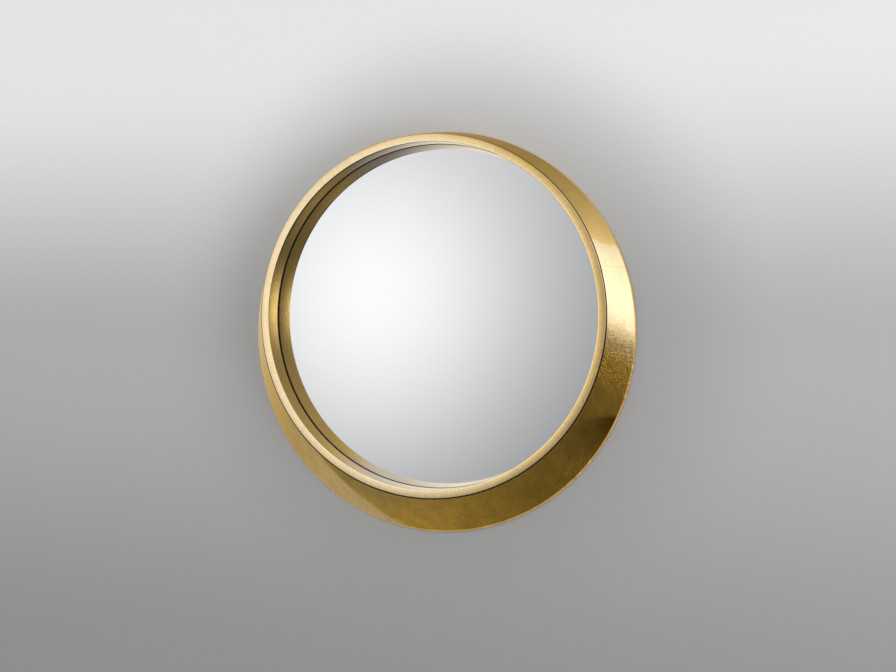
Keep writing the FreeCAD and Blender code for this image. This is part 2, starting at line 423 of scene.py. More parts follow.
def makeLeafSkin():
    # hand-laid metal leaf: overlaps, per-leaf tone, clouding, grain, creases in patches with painted
    # shade along them and painted glints beside them, rubbed specks
    inputs = {"Round": "Vector", "Angle": "Float", "Base": "Color", "Under": "Color"}
    inputs |= dict.fromkeys(("Gloss", "Creased", "Streaked", "Mottled"), "Float")
    tree, given, out = newGroup("leafSkin", inputs, surface)
    laid, creased = given["Round"], given["Creased"]
    step = 360.0 / leafLay["count"]
    wobble = scaled(tree, noiseAt(tree, laid, 25, 2), 0.5, -0.25)
    angle = plus(tree, given["Angle"], wobble)
    leaf = scaled(tree, angle, 1 / step, -leafLay["firstSeamDeg"] / step)
    index = mathNode(tree, "ROUND", leaf)
    toSeam = times(tree, apart(tree, leaf, index), math.radians(step) * leafLay["meanRadius"])
    seam = below(tree, toSeam, 0.0, leafLay["seamHalfWidth"])
    # every second overlap is rubbed nearly away
    seam = times(tree, seam, scaled(tree, mathNode(tree, "PINGPONG", index, 1.0), -0.7, 1.0))
    tone = addNode(tree, "ShaderNodeTexWhiteNoise", noise_dimensions="1D")
    feed(tree, mathNode(tree, "FLOOR", leaf), tone.inputs["W"])
    cloud = noiseAt(tree, laid, 16, 4, 0.55)
    grain = noiseAt(tree, laid, 340, 4, 0.7)
    fine = noiseAt(tree, laid, 800, 2, 0.6)
    patch = ramp(tree, noiseAt(tree, laid, 60, 3), 0.38, 0.52)
    wander = noiseAt(tree, laid, 105, 2, 0.6)
    curl = noiseAt(tree, stretch(tree, laid, (1.3, 1, 0.8)), 175, 1, 0.5)
    crease = times(tree, lineThrough(tree, curl, 0.045), 0.8)
    crease = larger(tree, lineThrough(tree, wander, 0.035), crease)
    crease = times(tree, times(tree, crease, patch), creased)
    alongRim = noiseAt(tree, stretch(tree, laid, (1, 1, 9)), 34, 5, 0.65)
    streak = times(tree, minus(tree, alongRim, 0.5), given["Streaked"])
    speck = ramp(tree, noiseAt(tree, laid, 520, 3, 0.5), 0.70, 0.76)
    worn = times(tree, speck, scaled(tree, creased, 0.55, 0.15))
    worn = plus(tree, worn, times(tree, seam, 0.22))

    blot = noiseAt(tree, laid, 48, 6, 0.68)
    fleck = ramp(tree, noiseAt(tree, stretch(tree, laid, (1, 1, 1.6)), 190, 4, 0.7), 0.60, 0.72)
    mottle = times(tree, scaled(tree, fleck, 0.9, scaled(tree, blot, 3.0, -1.5)), given["Mottled"])
    light = plus(tree, scaled(tree, tone.outputs["Value"], 0.09, 0.955), mottle)
    light = plus(tree, light, scaled(tree, cloud, 0.20, -0.10))
    light = plus(tree, light, scaled(tree, grain, 0.40, -0.20))
    light = plus(tree, light, times(tree, streak, 0.75))
    # painted shade darkens the creases, and painted glints lighten specks beside them
    light = minus(tree, light, times(tree, crease, 0.45))
    paintedGlint = times(tree, ramp(tree, curl, 0.60, 0.70), creased)
    light = larger(tree, scaled(tree, paintedGlint, 0.5, light), 0.12)
    shaded = vectorNode(tree, "SCALE", given["Base"], light)
    feed(tree, mixColour(tree, worn, shaded, given["Under"]), out["Color"])

    dull = plus(tree, given["Gloss"], scaled(tree, cloud, 0.16, -0.08))
    dull = plus(tree, dull, scaled(tree, fine, 0.12, -0.06))
    dull = plus(tree, dull, times(tree, worn, 0.25))
    feed(tree, larger(tree, dull, 0.06), out["Roughness"])

    # heights are real, in millimetres
    height = times(tree, noiseAt(tree, laid, 24, 2), 0.22)
    height = scaled(tree, noiseAt(tree, laid, 130, 3, 0.5), 0.045, height)
    height = scaled(tree, grain, 0.014, height)
    height = scaled(tree, crease, 0.20, height)
    height = scaled(tree, times(tree, wander, creased), 0.45, height)
    height = scaled(tree, seam, 0.012, height)
    feed(tree, scaled(tree, streak, 0.02, height), out["Height"])
    return tree


leafSkin = makeLeafSkin()

gold = {
    "pale": rgb(0.90, 0.66, 0.31),
    # painted highlight on the flank's right
    "paintedHighlight": rgb(0.95, 0.77, 0.47),
    "deep": rgb(0.80, 0.47, 0.08),
    "sandy": rgb(0.84, 0.58, 0.22),
    "olive": rgb(0.50, 0.35, 0.12),
    # painted reflection of shade on the flank's lower right
    "tarnishAndPaintedDark": rgb(0.20, 0.10, 0.006),
    "ochreAndHighlight": rgb(1.0, 0.60, 0.14),
    "lipPaintedLit": rgb(0.94, 0.73, 0.42),
    "lipPaintedShaded": rgb(0.86, 0.59, 0.22),
    "lipArrisHighlight": rgb(1.0, 0.90, 0.66),
    "inner": rgb(0.90, 0.60, 0.19),
    "grazing": rgb(1.0, 0.80, 0.46),
    "innerPaintedHighlight": rgb(0.96, 0.91, 0.88),
    "innerGrazing": rgb(1.0, 0.88, 0.67),
    # the dark undercoat, also used as painted shade
    "boleAndPaintedShade": rgb(0.035, 0.013, 0.005),
    "flankGloss": 0.14,
    "sandyGloss": 0.27,
    "lipGloss": 0.17,
    "innerGloss": 0.11,
}

# Where the flank's leaf changes, in degrees from the right hand side up over the top.
flankLeaf = {
    "toneAndShadeTop": (-13.0, -3.0),
    "toneAndShadeFoot": (-134.0, -127.0),
    "overlapSlant": -32.0,
    "sandyFoot": (23.2, 24.6),
    "sandyTop": (100.0, 130.0),
    "streakedFoot": (-136.0, -128.0),
    "streakedTop": (120.0, 170.0),
    "oliveEdge": (-118.0, -78.0),
    "oliveBody": (-118.0, -88.0),
    # where the flank is painted paler as a highlight
    "paintedHighlightFoot": (-5.0, 2.0),
    "paintedHighlightTop": (30.0, 60.0),
    "crumpledAt": -12.0,
    "crumpledRimAt": -42.0,
    # where the flank is painted dark as a reflection of shade
    "paintedDarkFrom": (-90.0, -60.0),
    "paintedDarkTo": (-20.0, 0.0),
    "paintedDarkTop": -179.0 * mm,
    "paintedDarkFoot": -262.0 * mm,
}


def makeLeafOnFlank():
    material, tree = newMaterial("leafOnFlank", Specular_Tint=gold["grazing"])
    ring = placeOnRing(tree)
    angle, share = ring["Angle"], ring["Share"]
    ragged = scaled(tree, noiseAt(tree, ring["Round"], 70, 4, 0.65), 5.0, -2.5)
    torn = plus(tree, angle, ragged)
    # the leaf is toned deeper round the lower right, up to a slanting overlap at the lower left; the
    # deeper tone is partly painted shade there, and the pale tone stands where the light falls
    slanted = scaled(tree, share, flankLeaf["overlapSlant"], angle)
    toneAndPaintedShade = times(
        tree,
        below(tree, torn, *flankLeaf["toneAndShadeTop"]),
        ramp(tree, scaled(tree, ragged, 0.5, slanted), *flankLeaf["toneAndShadeFoot"]),
    )
    # a duller, sandy stretch with a torn edge, from the upper right over the top
    sandy = below(tree, angle, *flankLeaf["sandyTop"])
    sandy = times(tree, ramp(tree, torn, *flankLeaf["sandyFoot"]), sandy)
    streaked = below(tree, slanted, *flankLeaf["streakedFoot"])
    streaked = larger(tree, streaked, ramp(tree, angle, *flankLeaf["streakedTop"]))
    creased = below(tree, apart(tree, angle, flankLeaf["crumpledAt"]), 4.0, 11.0)
    rim = below(tree, apart(tree, angle, flankLeaf["crumpledRimAt"]), 4.0, 14.0)
    rim = times(tree, rim, ramp(tree, share, 0.3, 0.8))
    creased = larger(tree, larger(tree, creased, times(tree, rim, 0.8)), 0.12)
    colour = mixColour(tree, toneAndPaintedShade, gold["pale"], gold["deep"])
    olive = times(tree, below(tree, angle, *flankLeaf["oliveEdge"]), below(tree, share, 0.25, 0.85))
    olive = larger(tree, olive, times(tree, below(tree, angle, *flankLeaf["oliveBody"]), 0.45))
    colour = mixColour(tree, times(tree, toneAndPaintedShade, olive), colour, gold["olive"])
    # painted highlight: on the right the flank is painted paler where the light strikes it
    paintedHighlight = below(tree, angle, *flankLeaf["paintedHighlightTop"])
    paintedHighlight = times(tree, ramp(tree, torn, *flankLeaf["paintedHighlightFoot"]), paintedHighlight)
    colour = mixColour(tree, paintedHighlight, colour, gold["paintedHighlight"])
    colour = mixColour(tree, sandy, colour, gold["sandy"])
    # painted reflection of shade: at the lower right the flank is painted nearly black towards the wall,
    # below a straight edge
    height = scaled(tree, ragged, 0.8 * mm, ring["Up"])
    top, foot = flankLeaf["paintedDarkTop"], flankLeaf["paintedDarkFoot"]
    dark = times(tree, below(tree, height, top - 9 * mm, top), ramp(tree, height, foot, top - 6 * mm))
    dark = times(tree, dark, scaled(tree, share, 0.95, 0.05))
    dark = times(tree, dark, ramp(tree, angle, *flankLeaf["paintedDarkFrom"]))
    dark = times(tree, dark, below(tree, angle, *flankLeaf["paintedDarkTo"]))
    colour = mixColour(tree, dark, colour, gold["tarnishAndPaintedDark"])
    # on the rounded base edge the leaf is rubbed down to the yellow clay, which is also painted bright
    # and matt as a highlight line
    land = mirror["landDepth"]
    edge = ramp(tree, ring["Depth"], land - 2.9 * mm, land - 1.9 * mm)
    leaf = useGroup(
        tree,
        leafSkin,
        Round=ring["Round"],
        Angle=ring["Joint Angle"],
        Base=mixColour(tree, edge, colour, gold["ochreAndHighlight"]),
        Under=gold["boleAndPaintedShade"],
        Gloss=scaled(tree, sandy, gold["sandyGloss"] - gold["flankGloss"], gold["flankGloss"]),
        Creased=creased,
        Streaked=streaked,
        Mottled=scaled(tree, toneAndPaintedShade, 0.20, 0.08),
    )
    # bole shows dark in the groove beside the lip, and where the leaf gives way towards the wall; both
    # are also painted shade, darkening the groove and the edge against the wall
    groove = below(tree, ring["Depth"], mirror["lipDepth"] + 1.5 * mm, mirror["lipDepth"] + 2.6 * mm)
    behind = ramp(tree, ring["Depth"], land + 1.7 * mm, land + 2.6 * mm)
    bare = larger(tree, behind, times(tree, groove, 0.85))
    matt = larger(tree, bare, times(tree, edge, 0.7))
    return finishMaterial(
        material,
        mixColour(tree, bare, leaf["Color"], gold["boleAndPaintedShade"]),
        scaled(tree, matt, 0.35, leaf["Roughness"]),
        leaf["Height"],
        invert(tree, times(tree, matt, 0.98)),
    )


def makeLeafOnHoop():
    material, tree = newMaterial("leafOnHoop", Specular_Tint=gold["innerGrazing"])
    ring = placeOnRing(tree, 0.0)
    angle, across, depth = ring["Angle"], ring["Across"], ring["Depth"]
    lip, sight, rim = mirror["lipDepth"], mirror["sightRadius"], mirror["hoopRadius"]
    # fine marks run across the lip and down the inner wall
    cross = noiseAt(tree, stretch(tree, ring["Round"], (1, 1, 0.1)), 420, 4, 0.6)
    # painted light: the lip is painted paler on the left and deeper on the right, as the light falls
    toRight = ofDegrees(tree, "COSINE", angle)
    colour = mixColour(tree, ramp(tree, toRight, -0.35, 1.0), gold["lipPaintedLit"], gold["lipPaintedShaded"])
    inside = below(tree, across, sight, sight + 0.8 * mm)
    toUpperLeft = ofDegrees(tree, "COSINE", minus(tree, angle, 128.0))
    colour = mixColour(tree, inside, colour, gold["inner"])
    # painted highlight: the inner wall is painted near white over the top and under the bottom
    overUnder = ramp(tree, mathNode(tree, "ABSOLUTE", ofDegrees(tree, "SINE", angle)), 0.79, 0.985)
    colour = mixColour(tree, times(tree, inside, overUnder), colour, gold["innerPaintedHighlight"])
    # painted shadow: just behind the lip at the upper left the inner wall is painted dark with bole,
    # where the lip shades it
    patchy = scaled(tree, noiseAt(tree, ring["Round"], 30, 3), 3 * mm, -1.5 * mm)
    shallow = below(tree, plus(tree, depth, patchy), lip + 2.5 * mm, lip + 5.5 * mm)
    dark = times(tree, times(tree, inside, shallow), ramp(tree, toUpperLeft, 0.78, 0.97))
    colour = mixColour(tree, times(tree, dark, 0.75), colour, gold["boleAndPaintedShade"])
    # painted highlight: both arrises of the lip are painted pale as highlight lines, and the outer one is
    # deeper gold over the top
    for radius in (sight + 1.0 * mm, rim - 0.9 * mm):
        arris = below(tree, apart(tree, across, radius), 0.4 * mm, 0.9 * mm)
        colour = mixColour(tree, times(tree, arris, 0.75), colour, gold["lipArrisHighlight"])
    deeperOverTop = times(tree, arris, below(tree, apart(tree, angle, 82.0), 26.0, 44.0))
    leaf = useGroup(
        tree,
        leafSkin,
        # the lip lies flat, so its pattern is also spread from the middle outwards
        Round=vectorNode(tree, "ADD", ring["Round"], joinVector(tree, 0.0, 0.0, across)),
        Angle=angle,
        Base=mixColour(tree, deeperOverTop, colour, gold["deep"]),
        Under=gold["boleAndPaintedShade"],
        Gloss=scaled(tree, inside, gold["innerGloss"] - gold["lipGloss"], gold["lipGloss"]),
        Creased=0.1,
        Mottled=0.03,
    )
    marked = vectorNode(tree, "SCALE", leaf["Color"], scaled(tree, cross, 0.03, 0.985))
    # bole shows in the groove, partly as painted shade, and painted shade darkens the inner wall's end
    # beside the tape, widening the dark line at the glass
    groove = ramp(tree, across, rim - 0.9 * mm, rim - 0.1 * mm)
    groove = times(tree, groove, ramp(tree, depth, lip + 0.6 * mm, lip + 1.4 * mm))
    shoulder = mirror["shoulderDepth"]
    paintedShadeAtTape = times(tree, inside, ramp(tree, depth, shoulder - 1.8 * mm, shoulder - 1.1 * mm))
    groove = larger(tree, groove, paintedShadeAtTape)
    return finishMaterial(
        material,
        mixColour(tree, times(tree, groove, 0.9), marked, gold["boleAndPaintedShade"]),
        leaf["Roughness"],
        scaled(tree, cross, 0.004, leaf["Height"]),
        invert(tree, times(tree, groove, 0.95)),
    )


rimTarnish = (259.2 * mm, 261.5 * mm)  # where the silver darkens towards its edge


def makeSilvering():
    material, tree = newMaterial("silvering")
    ring = placeOnRing(tree, 0.0)
    place = objectPlace(tree)
    haze = noiseAt(tree, place, 9, 5, 0.6)
    dust = ramp(tree, noiseAt(tree, place, 260, 3, 0.6), 0.66, 0.80)
    edge = scaled(tree, noiseAt(tree, ring["Round"], 60, 4), 2 * mm, ring["Across"])
    tarnishAndPaintedDark = ramp(tree, edge, *rimTarnish)
    colour = mixColour(tree, tarnishAndPaintedDark, rgb(0.86, 0.87, 0.885), rgb(0.30, 0.27, 0.24))
    colour = mixColour(tree, times(tree, haze, 0.05), colour, rgb(0.70, 0.72, 0.75))
    soft = scaled(tree, dust, 0.05, scaled(tree, haze, 0.03, 0.012))
    return finishMaterial(material, colour, soft, times(tree, noiseAt(tree, place, 10, 2), 0.02), 1.0)


def makeWoodGrain():
    # plain sawn wood: growth bands, pores along the grain, saw marks across it
    # the third axis of "Along" runs with the grain
    inputs = {"Along": "Vector", "Light": "Color", "Dark": "Color", "Bands": "Float", "Sawn": "Float"}
    tree, given, out = newGroup("woodGrain", inputs, surface)
    along, dark = given["Along"], given["Dark"]
    bend = addNode(tree, "ShaderNodeTexNoise", {"Detail": 3, "Roughness": 0.5, "Distortion": 0.6})
    feed(tree, stretch(tree, along, (1, 1, 0.08)), bend.inputs["Vector"])
    feed(tree, given["Bands"], bend.inputs["Scale"])
    band = mathNode(tree, "PINGPONG", times(tree, bend.outputs["Fac"], 6.0), 1.0)
    pore = ramp(tree, noiseAt(tree, stretch(tree, along, (1, 1, 0.03)), 900, 3, 0.6), 0.60, 0.68)
    blotch = noiseAt(tree, along, 12, 4, 0.6)
    saw = noiseAt(tree, stretch(tree, along, (0.05, 0.05, 1)), 620, 3, 0.6)
    mixed = mixColour(tree, times(tree, band, 0.65), given["Light"], dark)
    mixed = mixColour(tree, times(tree, blotch, 0.30), mixed, dark)
    mixed = mixColour(tree, times(tree, pore, 0.35), mixed, rgb(0.20, 0.11, 0.05))
    feed(tree, mixed, out["Color"])
    feed(tree, scaled(tree, band, 0.12, 0.62), out["Roughness"])
    height = scaled(tree, pore, -0.05, times(tree, band, 0.015))
    feed(tree, scaled(tree, times(tree, saw, given["Sawn"]), 0.12, height), out["Height"])
    return tree


woodGrain = makeWoodGrain()
boleStain = (305.0 * mm, 307.5 * mm)  # from the middle: where the brush went over the back's edge
# the bole under the groove also serves as painted shade there
boleAndShadeFoot = (9 * mm, 12 * mm)  # from the lip: how deep the bole stands under the groove


def finishWood(material, tree, ring, wood, stain=None):
    colour = wood["Color"]
    if stain is not None:
        colour = mixColour(tree, stain, colour, rgb(0.30, 0.075, 0.035))
    # under the groove in front the wood is black with bole, which also serves as painted shade in the
    # groove
    front = below(tree, minus(tree, ring["Depth"], mirror["lipDepth"]), *boleAndShadeFoot)
    colour = mixColour(tree, front, colour, gold["boleAndPaintedShade"])
    return finishMaterial(material, colour, wood["Roughness"], wood["Height"])


def makeWood(name, light, dark, grainTurn=(0, 0, 0), bands=70.0, sawn=0.3, stained=0.0):
    # the grain runs along the mapped Z; a stain of bole stands where the brush went over the edge
    material, tree = newMaterial(name)
    ring = placeOnRing(tree)
    turned = addNode(tree, "ShaderNodeMapping", {"Rotation": grainTurn})
    feed(tree, objectPlace(tree), turned.inputs["Vector"])
    along = turned.outputs[0]
    wood = useGroup(tree, woodGrain, Along=along, Light=light, Dark=dark, Bands=bands, Sawn=sawn)
    rim = scaled(tree, noiseAt(tree, ring["Round"], 45, 4, 0.6), 22 * mm, ring["Across"])
    stain = times(tree, ramp(tree, rim, *boleStain), stained)
    return finishWood(material, tree, ring, wood, stain)


def makeHoopWood():
    # a bent strip: the grain follows the ring
    material, tree = newMaterial("bentHoopWood")
    ring = placeOnRing(tree, 0.0)
    along = times(tree, ring["Angle"], math.radians(1) * leafLay["meanRadius"])
    wood = useGroup(
        tree,
        woodGrain,
        Along=joinVector(tree, ring["Across"], ring["Depth"], along),
        Light=rgb(0.66, 0.50, 0.31),
        Dark=rgb(0.48, 0.32, 0.17),
        Bands=160.0,
        Sawn=0.1,
    )
    return finishWood(material, tree, ring, wood)


def makeHardboard():
    # pressed fibres, with the print of the screen that the sheet was pressed on
    material, tree = newMaterial("hardboard")
    place = objectPlace(tree)
    fibre = noiseAt(tree, place, 420, 5, 0.7)
    mottle = ramp(tree, noiseAt(tree, place, 11, 4, 0.6), 0.35, 0.80)
    screenPitch = 1.6 * mm
    wave = splitVector(tree, stretch(tree, place, (turn / screenPitch,) * 3))
    screen = times(tree, mathNode(tree, "SINE", wave["X"]), mathNode(tree, "SINE", wave["Z"]))
    flake = ramp(tree, noiseAt(tree, stretch(tree, place, (1, 1, 2.2)), 130, 4, 0.65), 0.42, 0.66)
    colour = mixColour(tree, fibre, rgb(0.17, 0.095, 0.045), rgb(0.40, 0.26, 0.15))
    colour = mixColour(tree, times(tree, flake, 0.35), colour, rgb(0.42, 0.28, 0.16))
    colour = mixColour(tree, times(tree, mottle, 0.6), colour, rgb(0.22, 0.125, 0.065))
    height = scaled(tree, fibre, 0.08, times(tree, screen, 0.05))
    return finishMaterial(material, colour, scaled(tree, fibre, 0.2, 0.55), height)


def makeFelt():
    material, tree = newMaterial("pressedFelt", Sheen_Weight=0.3)
    place = objectPlace(tree)
    hair = noiseAt(tree, stretch(tree, place, (1, 1, 3)), 700, 5, 0.75)
    lump = noiseAt(tree, place, 60, 3)
    colour = mixColour(tree, hair, rgb(0.10, 0.10, 0.095), rgb(0.32, 0.32, 0.30))
    colour = mixColour(tree, times(tree, lump, 0.4), colour, rgb(0.15, 0.145, 0.14))
    return finishMaterial(material, colour, scaled(tree, hair, 0.1, 0.85), times(tree, hair, 0.2))


def makeRubber(name, colour, dusty):
    material, tree = newMaterial(name, Specular_IOR_Level=0.15)
    place = objectPlace(tree)
    skin = noiseAt(tree, place, 500, 4, 0.6)
    bloom = ramp(tree, noiseAt(tree, place, 70, 4, 0.6), 0.45, 0.75)
    mixed = mixColour(tree, times(tree, bloom, dusty), colour, rgb(0.10, 0.10, 0.10))
    return finishMaterial(material, mixed, scaled(tree, skin, 0.25, 0.55), times(tree, skin, 0.03))


def makePlatedSteel(name, colour, cloudColour, dull, scuffed):
    # plating: fine tumbled marks, soft clouds of tarnish, darker in the scuffs
    material, tree = newMaterial(name)
    place = objectPlace(tree)
    cloud = noiseAt(tree, place, 90, 4, 0.6)
    mark = noiseAt(tree, stretch(tree, place, (1, 1, 0.2)), 1500, 3, 0.6)
    scuff = ramp(tree, noiseAt(tree, place, 380, 5, 0.7), 0.60, 0.68)
    mixed = mixColour(tree, ramp(tree, cloud, 0.35, 0.65), colour, cloudColour)
    mixed = mixColour(tree, times(tree, scuff, scuffed), mixed, rgb(0.16, 0.14, 0.12))
    rough = scaled(tree, scuff, 0.15, scaled(tree, mark, 0.18, dull))
    height = scaled(tree, scuff, -0.01, times(tree, mark, 0.008))
    return finishMaterial(material, mixed, rough, height, 1.0)


quarter = math.pi / 2
limeLight, limeDark = rgb(0.60, 0.45, 0.28), rgb(0.42, 0.28, 0.15)
beechLight, beechDark = rgb(0.70, 0.54, 0.36), rgb(0.55, 0.38, 0.22)
leafOnFlank = makeLeafOnFlank()
leafOnHoop = makeLeafOnHoop()
silvering = makeSilvering()
hoopWood = makeHoopWood()
uprightWood = makeWood("uprightSegmentWood", limeLight, limeDark, stained=0.85)
levelWood = makeWood("levelSegmentWood", limeLight, limeDark, (0, quarter, 0), stained=0.85)
dowelWood = makeWood("dowelWood", beechLight, beechDark, (quarter, 0, 0), bands=320.0, sawn=0.0)
hardboard = makeHardboard()
pressedFelt = makeFelt()
foamTape = makeRubber("foamTape", rgb(0.004, 0.004, 0.004), 0.02)
blackRubber = makeRubber("blackRubber", rgb(0.02, 0.02, 0.02), 0.35)
zincSteel = makePlatedSteel("zincSteel", rgb(0.66, 0.65, 0.60), rgb(0.56, 0.55, 0.50), 0.26, 0.3)
brassSteel = makePlatedSteel("brassedSteel", rgb(0.74, 0.62, 0.36), rgb(0.62, 0.50, 0.28), 0.24, 0.35)
screwSteel = makePlatedSteel("screwSteel", rgb(0.68, 0.67, 0.64), rgb(0.60, 0.59, 0.55), 0.20, 0.25)
print("finishes mixed")

# The gilding of the flank is its own thin skin over the wood.
flankCoat = {
    "around": 720,
    "levels": 18,
    "stands": 0.12 * mm,  # the coat over the wood
    "thickness": 0.6 * mm,
    "rearEnd": -0.35 * mm,
    "arris": 1.8 * mm,
    "arrisSegments": 5,
    "grooveWidth": 2.3 * mm,
    "grooveDepth": 4.0 * mm,
    "cutterSpare": 3.0 * mm,  # how far the cutter stands out in front
}


def flankCircle(share):
    radius = mirror["hoopRadius"] + share * (mirror["baseRadius"] - mirror["hoopRadius"])
    y = mirror["lipDepth"] + share * (mirror["landDepth"] - mirror["lipDepth"])
    return radius + flankCoat["stands"], y, mirror["axisZ"] - share * mirror["baseDrop"]


def makeFlankCoat():
    radius, y, z = flankCircle(0)
    bpy.ops.mesh.primitive_circle_add(
        vertices=flankCoat["around"], radius=radius, location=(0, y, z), rotation=alongDepth
    )
    coat = nameNew("gildedFlankCoat")
    freezePlace(coat)
    openEdit(coat, "EDGE")
    selectAll()
    for level in range(flankCoat["levels"]):
        nextRadius, nextY, nextZ = flankCircle((level + 1) / flankCoat["levels"])
        pull(0, nextY - y, nextZ - z)
        grow = nextRadius / radius
        bpy.ops.transform.resize(value=(grow, 1, grow), center_override=(0, nextY, nextZ))
        radius, y, z = nextRadius, nextY, nextZ
    pull(0, flankCoat["rearEnd"] - y, 0)
    pickVerts(coat, lambda co: abs(co.y - mirror["landDepth"]) < 0.01 * mm)
    bpy.ops.mesh.bevel(offset=flankCoat["arris"], segments=flankCoat["arrisSegments"], affect="EDGES")
    selectAll()
    bpy.ops.mesh.normals_make_consistent(inside=False)
    closeEdit()
    return coat


def outwardFirst(piece):
    # the open skin's normals have to point away from the axis before it gets its thickness
    face = piece.data.polygons[0]
    out = face.center - axisPoint
    if face.normal.dot(Vector((out.x, 0, out.z))) < 0:
        flipNormals(piece)


def makeGroove():
    hoop = mirror["hoopRadius"] - 4 * mm
    outside = mirror["hoopRadius"] + flankCoat["grooveWidth"] + flankCoat["stands"]
    front = mirror["lipDepth"]
    corners = [
        (hoop, front - flankCoat["cutterSpare"]),
        (outside, front - flankCoat["cutterSpare"]),
        (outside, front + flankCoat["grooveWidth"] / 2),
        (mirror["hoopRadius"] + flankCoat["stands"], front + flankCoat["grooveDepth"]),
        (hoop, front + flankCoat["grooveDepth"]),
    ]
    groove = drawLoop("grooveCutter", corners)
    spinRound(groove, flankCoat["around"])
    return groove


flankSkin = makeFlankCoat()
outwardFirst(flankSkin)
applyModifier(flankSkin, "SOLIDIFY", thickness=flankCoat["thickness"], offset=-1)
cutAway(flankSkin, makeGroove())
cleanMesh(flankSkin)
dress(flankSkin, leafOnFlank)
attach(flankSkin, "frame")
print("flank gilded:", len(flankSkin.data.polygons), "faces")

# The gilding of the hoop covers its lip and its inner wall.
hoopCoat = {
    "around": 720,
    "stands": 0.1 * mm,
    "standsInside": 0.25 * mm,  # clears the facets of the wood under it
    "thickness": 0.5 * mm,
    "innerRounding": 0.7 * mm,
    "outerRounding": 0.9 * mm,
    "grooveEnd": 3.8 * mm,
}


def makeHoopCoat():
    inner = mirror["sightRadius"] - hoopCoat["standsInside"]
    outer = mirror["hoopRadius"] + hoopCoat["stands"]
    front = mirror["lipDepth"] - hoopCoat["stands"]
    grooveEnd = mirror["lipDepth"] + hoopCoat["grooveEnd"]
    shoulder = mirror["shoulderDepth"] - 0.02 * mm
    deep = hoopCoat["thickness"]
    corners = [
        (inner, shoulder),
        (inner, front),
        (outer, front),
        (outer, grooveEnd),
        (outer - deep, grooveEnd),
        (outer - deep, front + 3 * deep),
        (inner + deep, front + 3 * deep),
        (inner + deep, shoulder),
    ]
    coat = drawLoop("gildedHoopCoat", corners)
    roundCorner(coat, corners[1], hoopCoat["innerRounding"])
    roundCorner(coat, corners[2], hoopCoat["outerRounding"])
    spinRound(coat, hoopCoat["around"])
    return coat


hoopSkin = makeHoopCoat()
dress(hoopSkin, leafOnHoop)
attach(hoopSkin, "frame")
print("hoop gilded:", len(hoopSkin.data.polygons), "faces")

glass = {
    "around": 512,
    "rings": 40,
    "radius": 260.0 * mm,
    "bow": 8.0 * mm,
    "thickness": 4.0 * mm,
    "rimDepth": -22.5 * mm,
}


def makeGlass():
    radius = glass["radius"]
    sphere = (radius**2 + glass["bow"] ** 2) / (2 * glass["bow"])
    centreY = glass["rimDepth"] - glass["bow"] + sphere

    def depthAt(r, behind):
        return centreY - math.sqrt((sphere - behind) ** 2 - r**2)

    steps = [radius * i / glass["rings"] for i in range(glass["rings"] + 1)]
    front = [(r, depthAt(r, 0)) for r in steps]
    rear = [(r, depthAt(r, glass["thickness"])) for r in reversed(steps)]
    disc = drawLoop("mirrorGlass", front + rear, close=False)
    spinRound(disc, glass["around"])
    return disc


mirrorGlass = makeGlass()
dress(mirrorGlass, silvering)
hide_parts("convex_glass")
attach(mirrorGlass, "frame")
print("mirror glass made:", len(mirrorGlass.data.polygons), "faces")

# Six turn buttons hold the board: one is modelled at the right, then copied round the mirror.
buttons = {
    "count": 6,
    "firstDeg": -225.0,
    "stepDeg": 54.0,
    "pivotRadius": 272.5 * mm,
    "front": -5.0 * mm,
    "thickness": 1.5 * mm,
    "pivotEnd": 5.0 * mm,
    "tipEnd": 3.6 * mm,
    "reach": 24.0 * mm,
    "hole": 1.83 * mm,
    "softEdge": 0.3 * mm,
    "softSegments": 3,
    "sharpDeg": 40,
    "around": 48,
}


def makeButton():
    deselectAll()
    pivot = Vector((buttons["pivotRadius"], buttons["front"], mirror["axisZ"]))
    bpy.ops.mesh.primitive_circle_add(
        vertices=buttons["around"],
        radius=buttons["pivotEnd"],
        fill_type="NGON",
        location=pivot,
        rotation=alongDepth,
    )
    button = nameNew("turnButton1")
    freezePlace(button)
    openEdit(button)
    # half of the disc is pulled out and drawn in to make the tip
    pickVerts(button, lambda co: co.x < pivot.x + 0.01 * mm)
    span = buttons["reach"] - buttons["tipEnd"]
    narrow = buttons["tipEnd"] / buttons["pivotEnd"]
    bpy.ops.transform.resize(value=(narrow, 1, narrow), center_override=pivot)
    bpy.ops.transform.translate(value=(-span, 0, 0))
    selectAll()
    pull(0, buttons["thickness"], 0)
    closeEdit()
    bpy.ops.mesh.primitive_cylinder_add(
        vertices=buttons["around"],
        radius=buttons["hole"],
        depth=6 * buttons["thickness"],
        location=pivot,
        rotation=alongDepth,
    )
    drill = nameNew("buttonDrill")
    freezePlace(drill)
    for piece in (button, drill):
        cleanMesh(piece)
    cutAway(button, drill)
    applyModifier(
        button,
        "BEVEL",
        width=buttons["softEdge"],
        segments=buttons["softSegments"],
        limit_method="ANGLE",
        angle_limit=math.radians(buttons["sharpDeg"]),
    )
    cleanMesh(button)
    return button


def copyRound(piece, degrees, name):
    # a copy with its own mesh, turned round the mirror's axis
    makeActive(piece)
    bpy.ops.object.duplicate(linked=False)
    twin = nameNew(name)
    twin.rotation_euler = (0, -math.radians(degrees), 0)
    turned = twin.rotation_euler.to_matrix() @ axisPoint
    twin.location = axisPoint - turned
    freezePlace(twin)
    return twin


buttonAngles = [buttons["firstDeg"] + number * buttons["stepDeg"] for number in range(buttons["count"])]
patternButton = makeButton()
for number, degrees in enumerate(buttonAngles):
    button = copyRound(patternButton, degrees, f"turnButton{number + 1}")
    dress(button, zincSteel)
    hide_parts(f"turn_button_{number + 1}")
    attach(button, f"turn_button_{number + 1}")
bpy.data.objects.remove(patternButton)
print("turn buttons made")

